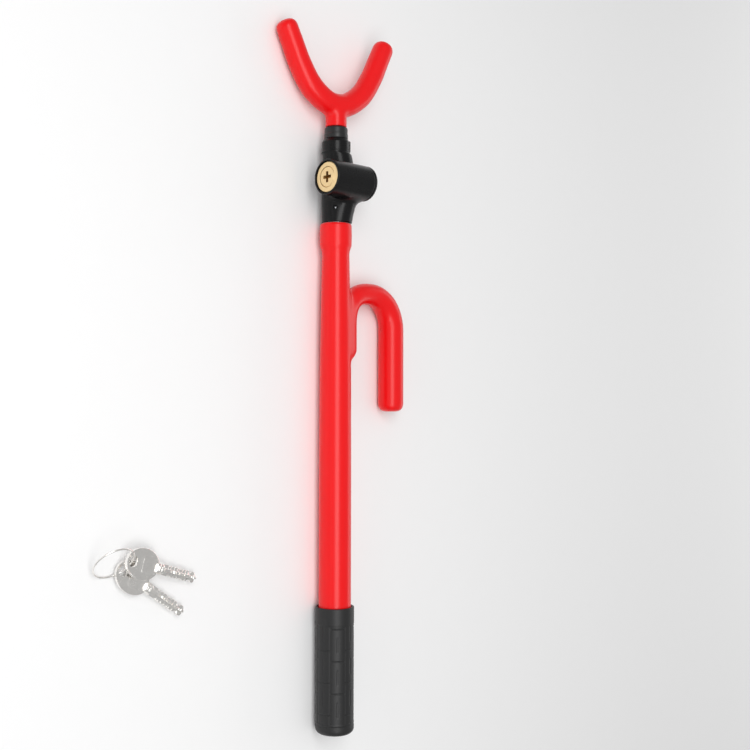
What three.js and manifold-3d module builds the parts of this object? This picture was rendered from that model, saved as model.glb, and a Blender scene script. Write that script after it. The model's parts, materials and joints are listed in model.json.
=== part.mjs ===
// Telescopic steering wheel lock: a red vinyl-coated tube with a welded hook, a black cast head
// with a key cylinder, and a grooved rod that carries a red fork. Millimetres, +Z up.
// The lock lies on the floor along Y with its fork towards +Y and its hook towards +X.
import * as THREE from 'three';
import { mergeVertices } from 'three/addons/utils/BufferGeometryUtils.js';
import Module from 'manifold-3d';

const wasm = await Module();
wasm.setup();

// driving dimensions
const gap = 0.3;                 // left between pieces that touch
const bite = 1;                  // how far a cutter runs past the face it opens
const roundSides = 24;           // facets round a large turned piece
const smallSides = 14;           // facets round a small one

const gripLength = 95;
const gripRadius = 14.7;         // also the height of the main axis above the floor
const gripBase = 3.5;            // solid butt end of the grip

const tubeBottom = 6;
const tubeTop = 385.7;
const tubeRadius = 9.5;
const tubeBore = 8;
const swageBottom = 364.5;       // where the tube starts to widen into its socket
const swageTop = 368.5;
const swageRadius = 11.1;
const swageBore = 9.8;
const coatRadius = 12.3;         // vinyl over the lower tube
const coatThinRadius = 10.45;    // vinyl just under the socket
const coatTaperY = 268;          // below this the vinyl has its full thickness
const socketRadius = 12.15;

const hookReach = 66.5;          // main axis to the free leg
const hookWeldX = 12.5;          // main axis to the welded leg
const hookBendY = 307.7;         // centre of the hook's half-round bend
const hookBendPower = 2.6;
const hookWeldEndY = 288;
const hookFreeEndY = 242;
const hookBarRadius = 6.2;
const hookCoatRadius = 7.8;      // vinyl round the bend
const hookFreeCoatRadius = 10;   // vinyl at the free end, where it ran thick
const hookTilt = Math.asin((gripRadius - hookFreeCoatRadius) / hookReach);

const rodRadius = 6.5;
const rodBore = 6.8;             // every hole the rod slides in
const rodBottom = 120.5;
const rodTop = 470.5;
const groovePitch = 10.3;
const grooveTop = 352;           // the rod is plain above this
const grooveCount = 20;
const grooveRootRadius = 5.1;
const stopTop = 128.5;           // upper face of the stop ring
const stopRadius = 7.6;

const barrelY = 416.5;           // key cylinder's axis, which runs along X
const barrelZ = 15;              // its height above the main axis
const housingRadius = 13.4;
const housingFront = -24;
const housingRear = 14.2;
const rearCapEnd = 18.2;
const barrelRadius = 11.6;
const barrelFront = -23.4;
const barrelRear = -10.2;
const wallFront = -8.2;          // wall between the cylinder's bore and the bolt chamber
const wallRear = -7.2;
const chamberRadius = 9.5;
const plugRadius = 7.5;
const camThrow = 1.8;            // how far the cam lifts the bolt
const camRadius = 2.2;
const pinX = -16;                // plane of the four tumbler stacks
const pinRadius = 1.1;

const headBottom = 386.3;
const headTop = 450.5;
const bushTop = 459.5;
const bushBottom = 432;
const wiperBottom = 453.5;
const wiperTop = 455.4;
const sleeveTop = 402.5;
const sleeveRadius = 9.5;
const sleeveBore = 7.1;
const headPinY = 396.7;
const headPinRadius = 1.6;

const forkStemBottom = 459.9;
const forkStemRadius = 8.1;
const forkSaddleY = 485.5;       // lowest point of the gap between the prongs
const forkCoatRadius = 8.6;
const forkBarRadius = 6;
const forkTip = [44.8, 527.2];   // centre of a prong's round end: half spread, height
const forkTilt = Math.asin((gripRadius - forkCoatRadius) / forkTip[0]);

const ringRadius = 14;           // key ring, centre line
const ringWire = 0.7;
const ringTilt = THREE.MathUtils.degToRad(44);
const ringPlace = [-191.5, 146.4]; // beside the lock
const keyLength = 57.5;          // hole to tip
const keyThickness = 2.2;
const keyBowCentre = 9;
const keyBowHalfLength = 14.2;
const keyBowHalfWidth = 10.5;
const keyHoleRadius = 3.7;
const keyBladeHalf = 3.7;
const keyFin = 0.95;             // half the thickness of a blade's fin
const floorZ = -gripRadius;

// materials
const finishes = {
  redVinyl: { color: 0xd81a22, roughness: 0.35, metalness: 0 },
  blackPaint: { color: 0x141416, roughness: 0.4, metalness: 0 },
  gripRubber: { color: 0x2b2b2d, roughness: 0.75, metalness: 0 },
  brass: { color: 0xd9b978, roughness: 0.3, metalness: 1 },
  chrome: { color: 0xd8dadc, roughness: 0.12, metalness: 1 },
  steel: { color: 0x8f9296, roughness: 0.4, metalness: 1 },
  springSteel: { color: 0xa5a8ac, roughness: 0.3, metalness: 1 },
  nickel: { color: 0xc4c6c4, roughness: 0.25, metalness: 1 },
  blackPlastic: { color: 0x1b1b1c, roughness: 0.6, metalness: 0 },
};

// solids
// Closed triangle mesh to a solid; triangles that have shrunk to a line at a pole are dropped.
function solid(geometry) {
  const bare = geometry.clone();
  bare.deleteAttribute('normal');
  bare.deleteAttribute('uv');
  const merged = mergeVertices(bare, 1e-4);
  const index = Array.from(merged.index.array);
  const triangles = [];
  for (let i = 0; i < index.length; i += 3) {
    const [a, b, c] = index.slice(i, i + 3);
    if (a !== b && b !== c && c !== a) triangles.push(a, b, c);
  }
  const points = merged.attributes.position;
  if (signedVolume(points, triangles) < 0) triangles.reverse();
  return new wasm.Manifold(new wasm.Mesh({
    numProp: 3,
    vertProperties: new Float32Array(points.array),
    triVerts: new Uint32Array(triangles),
  }));
}

function signedVolume(points, triangles) {
  const a = new THREE.Vector3();
  const b = new THREE.Vector3();
  const c = new THREE.Vector3();
  let volume = 0;
  for (let i = 0; i < triangles.length; i += 3) {
    a.fromBufferAttribute(points, triangles[i]);
    b.fromBufferAttribute(points, triangles[i + 1]);
    c.fromBufferAttribute(points, triangles[i + 2]);
    volume += a.dot(b.cross(c)) / 6;
  }
  return volume;
}

// Turned round Y from [radius, height] points that start and end on the axis.
function turned(profile, sides = roundSides) {
  const points = profile.map(([radius, height]) => new THREE.Vector2(radius, height));
  return solid(new THREE.LatheGeometry(points, sides));
}

function rod(radius, from, to, sides = roundSides) {
  return turned([[0, from], [radius, from], [radius, to], [0, to]], sides);
}

// Turned round the key cylinder's axis; heights in the profile run along +X.
function turnedOnX(profile, sides = roundSides, y = barrelY, z = barrelZ) {
  const points = profile.map(([radius, height]) => new THREE.Vector2(radius, height));
  const geometry = new THREE.LatheGeometry(points, sides).rotateZ(-Math.PI / 2);
  return solid(geometry.translate(0, y, z));
}

function rodOnX(radius, from, to, sides = roundSides, y = barrelY, z = barrelZ) {
  return turnedOnX([[0, from], [radius, from], [radius, to], [0, to]], sides, y, z);
}

function rodOnZ(radius, from, to, x, y, sides = smallSides) {
  const geometry = new THREE.CylinderGeometry(radius, radius, to - from, sides);
  return solid(geometry.rotateX(Math.PI / 2).translate(x, y, (from + to) / 2));
}

function block([x0, y0, z0], [x1, y1, z1]) {
  const geometry = new THREE.BoxGeometry(x1 - x0, y1 - y0, z1 - z0);
  return solid(geometry.translate((x0 + x1) / 2, (y0 + y1) / 2, (z0 + z1) / 2));
}

function ball(radius, x, y, z) {
  return solid(new THREE.SphereGeometry(radius, smallSides, smallSides / 2).translate(x, y, z));
}

function circle(radius, sides) {
  const shape = new THREE.Shape();
  for (let i = 0; i < sides; i += 1) {
    const angle = (2 * Math.PI * i) / sides;
    const point = [radius * Math.cos(angle), radius * Math.sin(angle)];
    if (i === 0) shape.moveTo(...point);
    else shape.lineTo(...point);
  }
  return shape;
}

function swept(path, radius, steps, sides = smallSides) {
  const options = { steps, bevelEnabled: false, extrudePath: path };
  return solid(new THREE.ExtrudeGeometry(circle(radius, sides), options));
}

class Helix extends THREE.Curve {
  constructor(radius, length, turns) {
    super();
    this.radius = radius;
    this.length = length;
    this.turns = turns;
  }

  getPoint(t, target = new THREE.Vector3()) {
    const angle = 2 * Math.PI * this.turns * t;
    const x = this.radius * Math.cos(angle);
    const y = this.radius * Math.sin(angle);
    return target.set(x, y, this.length * t);
  }
}

// Coil spring standing on z = 0; each turn gets the same number of steps.
function coil(radius, wire, length, turns, sides) {
  const stepsPerTurn = 8;
  const path = new Helix(radius - wire, length - 2 * wire, turns);
  return swept(path, wire, turns * stepsPerTurn, sides).translate([0, 0, wire]);
}

function piece(name, body, finish, parent) {
  const mesh = body.getMesh();
  const geometry = new THREE.BufferGeometry();
  geometry.setAttribute('position', new THREE.BufferAttribute(mesh.vertProperties, 3));
  geometry.setIndex(new THREE.BufferAttribute(mesh.triVerts, 1));
  geometry.computeVertexNormals();
  const placed = new THREE.Mesh(geometry, new THREE.MeshStandardMaterial(finishes[finish]));
  placed.name = name;
  parent.add(placed);
  return placed;
}

// tube, hook and their vinyl
function outerTube() {
  const outside = turned([
    [0, tubeBottom], [tubeRadius, tubeBottom], [tubeRadius, swageBottom],
    [swageRadius, swageTop], [swageRadius, tubeTop], [0, tubeTop],
  ]);
  return outside.subtract(turned([
    [0, tubeBottom - bite], [tubeBore, tubeBottom - bite], [tubeBore, swageBottom],
    [swageBore, swageTop], [swageBore, tubeTop + bite], [0, tubeTop + bite],
  ]));
}

function tubeEnvelope() {
  return turned([
    [0, tubeBottom - bite], [tubeRadius + gap, tubeBottom - bite],
    [tubeRadius + gap, swageBottom - gap], [swageRadius + gap, swageTop - gap],
    [swageRadius + gap, tubeTop + 2 * bite], [0, tubeTop + 2 * bite],
  ]);
}

// Centre line of the hook: up the welded leg, round the bend, down the free leg.
function hookPath() {
  const bendRadius = (hookReach - hookWeldX) / 2;
  const middle = hookWeldX + bendRadius;
  const path = new THREE.CurvePath();
  const weldStart = new THREE.Vector3(hookWeldX, hookWeldEndY, 0);
  const bendPoints = [];
  const bendSteps = 12;
  for (let i = 0; i <= bendSteps; i += 1) {
    const angle = Math.PI * (1 - i / bendSteps);
    // the half next to the tube is a fuller curve than the outer quarter circle
    const power = i < bendSteps / 2 ? 2 / hookBendPower : 1;
    const across = Math.sign(Math.cos(angle)) * Math.abs(Math.cos(angle)) ** power;
    const up = Math.abs(Math.sin(angle)) ** power;
    const y = hookBendY + bendRadius * up;
    bendPoints.push(new THREE.Vector3(middle + bendRadius * across, y, 0));
  }
  const points = [weldStart, ...bendPoints, new THREE.Vector3(hookReach, hookFreeEndY + 6, 0)];
  for (let i = 1; i < points.length; i += 1) {
    path.add(new THREE.LineCurve3(points[i - 1], points[i]));
  }
  return path;
}

const hookSteps = 22;

function hookBar() {
  const bar = swept(hookPath(), hookBarRadius, hookSteps);
  return bar.subtract(rod(tubeRadius + gap, tubeBottom, swageBottom));
}

function freeLegCoat() {
  const taper = [
    [0, hookFreeEndY], [hookFreeCoatRadius * 0.6, hookFreeEndY],
    [hookFreeCoatRadius * 0.9, hookFreeEndY + 2.5], [hookFreeCoatRadius, hookFreeEndY + 7],
    [hookFreeCoatRadius, hookFreeEndY + 24], [hookCoatRadius, hookBendY + 4],
    [0, hookBendY + 4],
  ];
  return turned(taper, smallSides).translate([hookReach, 0, 0]);
}

function frameCoat() {
  const tubeCoat = turned([
    [0, tubeBottom], [coatRadius, tubeBottom], [coatRadius, coatTaperY],
    [coatThinRadius, swageBottom - 2], [socketRadius, swageTop + 1.5],
    [socketRadius, tubeTop - 1], [socketRadius - 0.5, tubeTop + gap], [0, tubeTop + gap],
  ]);
  const bend = swept(hookPath(), hookCoatRadius, hookSteps);
  const weldEnd = ball(hookCoatRadius, hookWeldX, hookWeldEndY, 0);
  const barRoom = swept(hookPath(), hookBarRadius + gap, hookSteps);
  return tubeCoat.add(bend).add(weldEnd).add(freeLegCoat())
    .subtract(tubeEnvelope()).subtract(barRoom);
}

function grip() {
  const ribBottoms = [17, 80];
  const ribDepth = 0.6;
  const outline = [
    [0, 0], [gripRadius - 3, 0], [gripRadius - 1, 1], [gripRadius, 4],
  ];
  for (const bottom of ribBottoms) {
    outline.push([gripRadius, bottom], [gripRadius - ribDepth, bottom + 0.8]);
    outline.push([gripRadius - ribDepth, bottom + 2], [gripRadius, bottom + 2.8]);
  }
  outline.push([gripRadius, gripLength - 1], [gripRadius - 1, gripLength], [0, gripLength]);
  return turned(outline).subtract(rod(coatRadius + gap, gripBase, gripLength + bite));
}

// cast head
function headWeb() {
  const side = new THREE.Shape();
  side.moveTo(barrelY - 23, 0);
  side.lineTo(barrelY - 23, 8.5);
  side.lineTo(barrelY - 10.5, 23);
  side.lineTo(barrelY + 10.5, 23);
  side.lineTo(barrelY + 22, 9.5);
  side.lineTo(barrelY + 22, 0);
  const width = 21;
  const slab = new THREE.ExtrudeGeometry(side, { depth: width, bevelEnabled: false });
  // the outline's (x, y) become (Y, Z) and its depth runs along X
  const turn = new THREE.Matrix4().set(0, 0, 1, -width / 2, 1, 0, 0, 0, 0, 1, 0, 0, 0, 0, 0, 1);
  return solid(slab.applyMatrix4(turn));
}

function headCasting() {
  const neck = turned([
    [0, headBottom], [11.9, headBottom], [12.6, headBottom + 9], [12.6, barrelY],
    [12, barrelY + 11], [10.9, barrelY + 19], [10.9, headTop - 1.5], [9.7, headTop],
    [0, headTop],
  ]);
  const housing = turnedOnX([
    [0, housingFront], [housingRadius - 0.8, housingFront],
    [housingRadius, housingFront + 0.8], [housingRadius, housingRear], [0, housingRear],
  ], 32);
  const pinHole = radialPin(headPinRadius + gap, sleeveRadius - 4, gripRadius + 3);
  return neck.add(housing).add(headWeb())
    .subtract(rod(rodBore, headBottom - bite, headTop + bite))
    .subtract(rod(sleeveRadius + gap, headBottom - bite, sleeveTop + gap))
    .subtract(rod(8.4, bushBottom - gap, headTop + bite))
    .subtract(rodOnX(barrelRadius + gap, housingFront - bite, wallFront))
    .subtract(rodOnX(chamberRadius, wallRear, housingRear + bite))
    .subtract(rodOnX(4.4, wallFront - bite, wallRear + bite, smallSides))
    .subtract(pinHole);
}

// A pin that points out of the head halfway between -X and +Z.
function radialPin(radius, from, to) {
  const geometry = new THREE.CylinderGeometry(radius, radius, to - from, smallSides);
  geometry.rotateX(Math.PI / 2).translate(0, 0, (from + to) / 2).rotateY(-Math.PI / 4);
  return solid(geometry.translate(0, headPinY, 0));
}

function spigotSleeve() {
  return rod(sleeveRadius, swageTop + gap, sleeveTop)
    .subtract(rod(sleeveBore, swageTop - bite, sleeveTop + bite))
    .subtract(radialPin(headPinRadius + gap, sleeveBore - 3, sleeveRadius + 3));
}

function neckBush() {
  return turned([
    [0, bushBottom], [8.1, bushBottom], [8.1, headTop + gap], [9.1, headTop + gap],
    [9.1, bushTop - 0.6], [8.5, bushTop], [0, bushTop],
  ]).subtract(rod(rodBore, bushBottom - bite, bushTop + bite))
    .subtract(rod(8.1, wiperBottom - gap, wiperTop + gap));
}

function ringOnY(inner, outer, from, to, sides = roundSides) {
  return rod(outer, from, to, sides).subtract(rod(inner, from - bite, to + bite, sides));
}

function rearCap() {
  return turnedOnX([
    [0, 12.6], [chamberRadius - gap, 12.6], [chamberRadius - gap, housingRear + gap],
    [housingRadius, housingRear + gap], [housingRadius, rearCapEnd - 1.5],
    [housingRadius - 1.5, rearCapEnd], [0, rearCapEnd],
  ]);
}

// key cylinder
const stackDirections = [0, 1, 2, 3]; // quarter turns round the cylinder

// A radial pin or hole of the key cylinder, on one of its four stacks.
function stack(radius, from, to, quarter) {
  const geometry = new THREE.CylinderGeometry(radius, radius, to - from, 10);
  geometry.rotateX(Math.PI / 2).translate(0, 0, (from + to) / 2);
  geometry.rotateX((quarter * Math.PI) / 2);
  return solid(geometry.translate(pinX, barrelY, barrelZ));
}

function lockBarrel() {
  let body = turnedOnX([
    [0, barrelFront], [barrelRadius - 0.6, barrelFront], [barrelRadius, barrelFront + 0.6],
    [barrelRadius, barrelRear], [0, barrelRear],
  ]).subtract(rodOnX(plugRadius + gap, barrelFront - bite, barrelRear + bite));
  for (const quarter of stackDirections) {
    body = body.subtract(stack(pinRadius + gap, plugRadius - 1, barrelRadius + bite, quarter));
  }
  return body;
}

const keywayHalf = 4.2;
const keywaySlot = 1.25;

function cross(half, slot, from, to) {
  const low = [from, barrelY - slot, barrelZ - half];
  const high = [to, barrelY + slot, barrelZ + half];
  return block(low, high).add(
    block([from, barrelY - half, barrelZ - slot], [to, barrelY + half, barrelZ + slot]));
}

function lockPlug() {
  let body = turnedOnX([
    [0, barrelFront], [plugRadius - 0.3, barrelFront], [plugRadius, barrelFront + 0.3],
    [plugRadius, barrelRear + 0.1], [5.9, barrelRear + 0.1], [5.9, -8.9], [6.6, -8.9],
    [6.6, -8.5], [0, -8.5],
  ]).subtract(cross(keywayHalf, keywaySlot, barrelFront - bite, -12.6))
    .subtract(rodOnX(3.2, -12, wallFront, smallSides));
  for (const quarter of stackDirections) {
    body = body.subtract(stack(pinRadius + gap, 3, plugRadius + bite, quarter));
  }
  return body;
}

function plugCirclip() {
  const ring = rodOnX(8.6, -9.8, -9.2).subtract(rodOnX(6.2, -11, -8));
  const mouth = block([-11, barrelY - 2, barrelZ + 3], [-8, barrelY + 2, barrelZ + 12]);
  return ring.subtract(mouth);
}

// The tail turns with the plug; its off-centre lobe works in the bolt's window.
function tailCam() {
  const lobe = rodOnX(camRadius, -4, 4, smallSides, barrelY, barrelZ - camThrow);
  return rodOnX(2.9, -11.7, -8, smallSides).add(rodOnX(3.9, wallFront, -4, smallSides))
    .add(lobe).add(rodOnX(camRadius, 3.9, 11.5, smallSides));
}

function boltCarrier() {
  const slot = block([-3.3, barrelY - 6.7, 0], [3.3, barrelY + 6.7, 20.9]);
  return rodOnX(chamberRadius - gap, wallRear + gap, 12.2)
    .subtract(slot)
    .subtract(rod(rodBore + gap, barrelY - 20, barrelY + 20))
    .subtract(rodOnX(4.4, wallRear - bite, 5, smallSides))
    .subtract(rodOnX(camRadius + gap, 4, 13, smallSides))
    .subtract(rodOnZ(2.7, 19, 23.3, 0, barrelY));
}

function lockingBolt() {
  const plate = block([-3, barrelY - 6.2, 9.4], [3, barrelY + 6.2, 18.7]);
  const tooth = block([-3, barrelY - 2.6, rodRadius + gap], [3, barrelY + 2.6, 10]);
  const window = block([-4, barrelY - 4.4, 10.2], [4, barrelY + 4.4, barrelZ + 0.7]);
  return plate.add(tooth).subtract(window);
}

// rod and fork
function ratchetRod() {
  const outline = [
    [0, rodBottom], [4.5, rodBottom], [4.5, 122], [3.9, 122], [3.9, 123.6], [4.5, 123.6],
    [4.5, stopTop + gap], [rodRadius, stopTop + gap],
  ];
  for (let i = grooveCount; i >= 0; i -= 1) {
    const root = grooveTop - i * groovePitch;
    outline.push([rodRadius, root - 1.9], [grooveRootRadius, root], [rodRadius, root + 1.9]);
  }
  outline.push([rodRadius, rodTop], [0, rodTop]);
  return turned(outline, 16);
}

function stopClip() {
  const mouth = block([-1.5, 121, 2], [1.5, 125, 9]);
  return ringOnY(4.2, 6.6, 122.3, 123.3, 20).subtract(mouth);
}

// Centre line of the fork bar, from tip to tip through the bottom of the gap.
function forkPath(shorten) {
  const bottomY = forkSaddleY - forkCoatRadius;
  const half = [
    new THREE.Vector3(forkTip[0] - shorten * 0.4, forkTip[1] - shorten, 0),
    new THREE.Vector3(40.5, 518, 0), new THREE.Vector3(33.4, 503, 0),
    new THREE.Vector3(23.6, 488.5, 0), new THREE.Vector3(11, bottomY + 2.4, 0),
  ];
  const mirrored = half.map((point) => new THREE.Vector3(-point.x, point.y, 0)).reverse();
  const bottom = new THREE.Vector3(0, bottomY, 0);
  return new THREE.CatmullRomCurve3([...half, bottom, ...mirrored]);
}

const forkSteps = 22;

function forkBar() {
  return swept(forkPath(4), forkBarRadius, forkSteps);
}

function forkCoat() {
  const prongs = swept(forkPath(0), forkCoatRadius, forkSteps);
  const stem = turned([
    [0, forkStemBottom], [forkStemRadius - 0.5, forkStemBottom],
    [forkStemRadius, forkStemBottom + 0.8], [forkStemRadius, rodTop - 1],
    [forkCoatRadius + 1, rodTop + 8], [0, rodTop + 8],
  ]);
  const tips = ball(forkCoatRadius, forkTip[0], forkTip[1], 0)
    .add(ball(forkCoatRadius, -forkTip[0], forkTip[1], 0));
  return prongs.add(stem).add(tips)
    .subtract(swept(forkPath(3.5), forkBarRadius + gap, forkSteps))
    .subtract(rod(rodBore, forkStemBottom - bite, rodTop + 2));
}

// keys
// Cruciform key along +X, flat in XY, with the ring's hole at the origin.
function cruciformKey() {
  const bow = new THREE.Shape();
  bow.absellipse(keyBowCentre, 0, keyBowHalfLength, keyBowHalfWidth, 0, 2 * Math.PI);
  const hole = new THREE.Path();
  hole.absellipse(0, 0, keyHoleRadius, keyHoleRadius, 0, 2 * Math.PI);
  bow.holes.push(hole);
  const options = { depth: keyThickness, bevelEnabled: false, curveSegments: 8 };
  const plate = new THREE.ExtrudeGeometry(bow, options).translate(0, 0, -keyThickness / 2);
  const panel = block([7, -5, -1.4], [18.5, 5, 1.4]);
  const collar = solid(new THREE.CylinderGeometry(3.9, 3.9, 5, smallSides)
    .rotateZ(-Math.PI / 2).translate(24, 0, 0));
  const blade = crossBar(keyBladeHalf, 25, keyLength - 3.5);
  const tip = crossBar(keyBladeHalf - 1.1, keyLength - 4, keyLength);
  return solid(plate).add(panel).add(collar).add(blade).add(tip);
}

// Bar along +X with a plus-shaped section.
function crossBar(half, from, to) {
  const flat = block([from, -half, -keyFin], [to, half, keyFin]);
  return flat.add(block([from, -keyFin, -half], [to, keyFin, half]));
}

function keyRing() {
  return solid(new THREE.TorusGeometry(ringRadius, ringWire, 6, 28));
}

// Where the ring's wire is, at an angle round the ring.
function onRing(angle) {
  const tilted = ringRadius * Math.sin(angle);
  const centreZ = floorZ + ringRadius * Math.sin(ringTilt) + ringWire;
  return new THREE.Vector3(
    ringPlace[0] + ringRadius * Math.cos(angle),
    ringPlace[1] + tilted * Math.cos(ringTilt),
    centreZ + tilted * Math.sin(ringTilt),
  );
}

// Hang a key on the ring's wire, pointing along a heading, with its blade tip on the floor.
function hangKey(name, ringAngle, heading, parent) {
  const key = piece(name, cruciformKey(), 'nickel', parent);
  const hole = onRing(ringAngle);
  const bladeHeight = floorZ + keyBladeHalf + 0.35;
  const pitch = Math.asin((hole.z - bladeHeight) / (keyLength - 3.5));
  key.position.copy(hole);
  key.rotation.set(0, pitch, THREE.MathUtils.degToRad(heading), 'ZYX');
}

// assembly
const lock = new THREE.Group();
const frameGroup = new THREE.Group();
frameGroup.rotation.y = hookTilt;
const forkGroup = new THREE.Group();
forkGroup.rotation.y = -forkTilt;
lock.add(frameGroup, forkGroup);

piece('outer_tube', outerTube(), 'steel', frameGroup);
piece('hook_bar', hookBar(), 'steel', frameGroup);
piece('frame_coat', frameCoat(), 'redVinyl', frameGroup);
piece('tube_plug', rod(tubeBore - gap, tubeBottom + gap, 20), 'blackPlastic', lock);
piece('grip', grip(), 'gripRubber', lock);

piece('head_casting', headCasting(), 'blackPaint', lock);
piece('rear_cap', rearCap(), 'blackPaint', lock);
piece('spigot_sleeve', spigotSleeve(), 'steel', lock);
piece('head_pin', radialPin(headPinRadius, sleeveBore + gap, 12.9), 'steel', lock);
piece('neck_bush', neckBush(), 'blackPlastic', lock);
piece('wiper_ring', ringOnY(rodBore, 7.8, wiperBottom, wiperTop), 'gripRubber', lock);

piece('lock_barrel', lockBarrel(), 'brass', lock);
piece('lock_plug', lockPlug(), 'brass', lock);
piece('plug_circlip', plugCirclip(), 'springSteel', lock);
piece('tail_cam', tailCam(), 'steel', lock);
piece('bolt_carrier', boltCarrier(), 'steel', lock);
piece('locking_bolt', lockingBolt(), 'steel', lock);
const boltSpring = piece('bolt_spring', coil(2.2, 0.35, 4.2, 4, 6), 'springSteel', lock);
boltSpring.position.set(0, barrelY, 18.7 + gap / 2);

for (const quarter of stackDirections) {
  const number = quarter + 1;
  piece(`key_pin_${number}`, stack(pinRadius, 4.4, plugRadius - 0.2, quarter), 'brass', lock);
  piece(`driver_pin_${number}`, stack(pinRadius, 7.9, 9.5, quarter), 'steel', lock);
  const spring = piece(`pin_spring_${number}`, coil(1, 0.22, 1.7, 2, 5), 'springSteel', lock);
  spring.geometry.translate(0, 0, 9.65).rotateX((quarter * Math.PI) / 2);
  spring.position.set(pinX, barrelY, barrelZ);
}

piece('ratchet_rod', ratchetRod(), 'chrome', forkGroup);
piece('rod_stop', ringOnY(4.8, stopRadius, 124.2, stopTop), 'steel', lock);
piece('stop_clip', stopClip(), 'springSteel', forkGroup);
piece('fork_bar', forkBar(), 'steel', forkGroup);
piece('fork_coat', forkCoat(), 'redVinyl', forkGroup);

const ring = piece('key_ring', keyRing(), 'nickel', lock);
ring.position.copy(onRing(0)).setX(ringPlace[0]);
ring.rotation.x = ringTilt;
hangKey('key_1', 0, -18, lock);
hangKey('key_2', -0.7, -35, lock);

// origin at the bottom centre of the whole set's box
lock.updateMatrixWorld(true);
const box = new THREE.Box3().setFromObject(lock, true);
lock.position.set(-(box.min.x + box.max.x) / 2, -(box.min.y + box.max.y) / 2, -box.min.z);

export default lock;
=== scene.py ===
import json
import math
import bpy
import numpy as np
from mathutils import Matrix, Vector


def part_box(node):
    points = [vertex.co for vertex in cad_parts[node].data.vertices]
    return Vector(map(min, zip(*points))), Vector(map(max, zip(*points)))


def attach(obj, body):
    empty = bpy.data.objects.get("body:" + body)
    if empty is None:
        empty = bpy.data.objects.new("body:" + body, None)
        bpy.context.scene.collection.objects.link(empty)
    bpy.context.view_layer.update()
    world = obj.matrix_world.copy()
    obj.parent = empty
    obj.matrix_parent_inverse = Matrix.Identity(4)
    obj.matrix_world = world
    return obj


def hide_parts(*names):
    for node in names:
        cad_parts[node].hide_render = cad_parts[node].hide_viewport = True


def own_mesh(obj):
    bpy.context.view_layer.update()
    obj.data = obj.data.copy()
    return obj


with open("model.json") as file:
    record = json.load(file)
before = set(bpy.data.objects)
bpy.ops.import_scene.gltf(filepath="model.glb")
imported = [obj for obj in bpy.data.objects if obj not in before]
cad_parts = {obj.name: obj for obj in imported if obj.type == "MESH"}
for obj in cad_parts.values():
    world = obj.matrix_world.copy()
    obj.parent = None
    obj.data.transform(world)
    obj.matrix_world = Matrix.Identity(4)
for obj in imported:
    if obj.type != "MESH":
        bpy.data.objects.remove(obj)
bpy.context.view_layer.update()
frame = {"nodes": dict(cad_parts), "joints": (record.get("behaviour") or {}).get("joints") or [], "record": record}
print("frame loaded:", len(frame["nodes"]), "nodes")

mm = 0.001
gripLow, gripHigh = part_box("grip")
# the lock's own place: its main axis runs along Y from the butt end of the grip
axisX = (gripLow.x + gripHigh.x) / 2
axisZ = (gripLow.z + gripHigh.z) / 2
buttY = gripLow.y
barrelLow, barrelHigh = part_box("lock_barrel")
barrelY = (barrelLow.y + barrelHigh.y) / 2 - buttY
barrelZ = (barrelLow.z + barrelHigh.z) / 2 - axisZ


def toRow(points):
    # from the lock's own place, metres, to the row frame
    return np.asarray(points, float) + np.array([axisX, buttY, axisZ])


# camera

cameraSet = {
    "lookAt": 270.3 * mm,      # up the tube from the butt end
    "distance": 0.818,
    "round": math.radians(43.7),   # turned from straight above towards the keyhole side
    "tilt": math.radians(1.28),
    "roll": math.radians(0.16),
    "lens": 51.5,
    "shift": 0.0528,
}


def makeCamera(given):
    # looks at a point of the main axis from a distance, turned round it, tilted and rolled
    data = bpy.data.cameras.new("camera")
    data.lens = given["lens"]
    data.sensor_width = 36
    data.shift_x = given["shift"]
    data.clip_start = 0.01
    cam = bpy.data.objects.new("camera", data)
    bpy.context.scene.collection.objects.link(cam)
    up = Vector((0, 1, 0))
    away = Vector((-math.sin(given["round"]), 0, math.cos(given["round"])))
    side = Vector((math.cos(given["round"]), 0, math.sin(given["round"])))
    back = away * math.cos(given["tilt"]) - up * math.sin(given["tilt"])
    top = up * math.cos(given["tilt"]) + away * math.sin(given["tilt"])
    right = side * math.cos(given["roll"]) + top * math.sin(given["roll"])
    top = top * math.cos(given["roll"]) - side * math.sin(given["roll"])
    spot = Vector((axisX, buttY + given["lookAt"], axisZ)) + back * given["distance"]
    turn = Matrix((right, top, back)).transposed().to_4x4()
    cam.matrix_world = Matrix.Translation(spot) @ turn
    bpy.context.scene.camera = cam


makeCamera(cameraSet)
print("camera set")


# meshes from arrays

def meshObject(name, points, faces):
    # a linked object from points and faces
    mesh = bpy.data.meshes.new(name)
    mesh.from_pydata(np.asarray(points).tolist(), [], faces)
    mesh.validate()
    mesh.update()
    made = bpy.data.objects.new(name, mesh)
    bpy.context.scene.collection.objects.link(made)
    return made


def outward(points, faces):
    # six times the volume, summed over a fan of each face; it is negative for inward faces
    total = 0.0
    for k in range(1, faces.shape[1] - 1):
        a, b, c = points[faces[:, 0]], points[faces[:, k]], points[faces[:, k + 1]]
        total += float(np.einsum("ij,ij->i", a, np.cross(b, c)).sum())
    return total


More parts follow.
